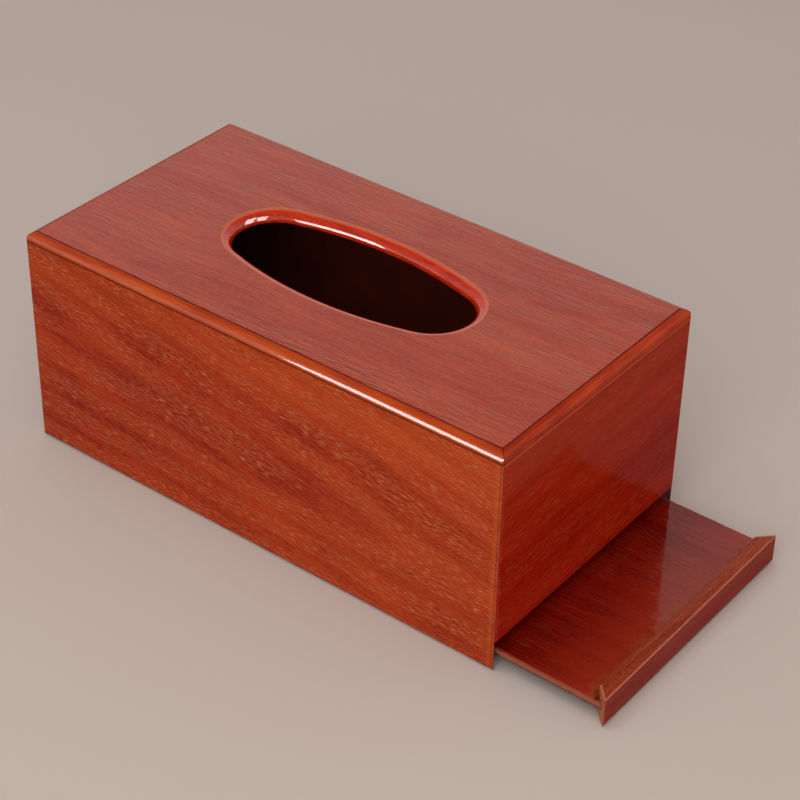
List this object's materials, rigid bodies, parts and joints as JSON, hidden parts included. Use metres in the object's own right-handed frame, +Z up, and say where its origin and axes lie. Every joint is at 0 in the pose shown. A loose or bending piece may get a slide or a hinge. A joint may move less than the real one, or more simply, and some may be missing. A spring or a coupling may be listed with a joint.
{
  "type": "tissue box with sliding bottom",
  "caption": "Oblong veneered wooden tissue box with an oval slot in its top, round lipped edges and a thin bottom board with a mitred pull strip that slides out of one end.",
  "frame": {"origin": "on the table, at the middle of the box's footprint with the bottom board pulled out as stored", "axes": "+X along the box towards the pull strip, +Y across it to the back, +Z up"},
  "size_m": [0.2892, 0.125, 0.1016],
  "materials": {
    "stained_core": "stained dark red-brown and lacquered",
    "side_veneer": "red-brown veneer, fine pores, clear gloss lacquer",
    "lipping": "orange-red solid wood, clear gloss lacquer",
    "top_core": "orange-red solid wood, clear gloss lacquer",
    "top_veneer": "red-brown veneer, fine pores, clear gloss lacquer",
    "board_core": "pale board with a bare sanded edge",
    "board_veneer": "dark red veneer, clear gloss lacquer"
  },
  "bodies": {
    "case": {"front_wall": "stained_core", "back_wall": "stained_core", "left_wall": "stained_core", "right_wall": "stained_core", "front_veneer": "side_veneer", "back_veneer": "side_veneer", "left_veneer": "side_veneer", "right_veneer": "side_veneer", "lipping_front": "lipping", "lipping_back": "lipping", "lipping_left": "lipping", "lipping_right": "lipping", "top_panel": "top_core", "top_veneer": "top_veneer"},
    "bottom": {"slide_board": "board_core", "slide_board_veneer": "board_veneer", "pull_strip": "stained_core", "pull_strip_veneer": "side_veneer"}
  },
  "joints": [
    {"name": "bottom_slide", "type": "slide", "parent": "case", "child": "bottom", "axis": [1, 0, 0], "range_m": [-0.0492, 0.18]}
  ]
}
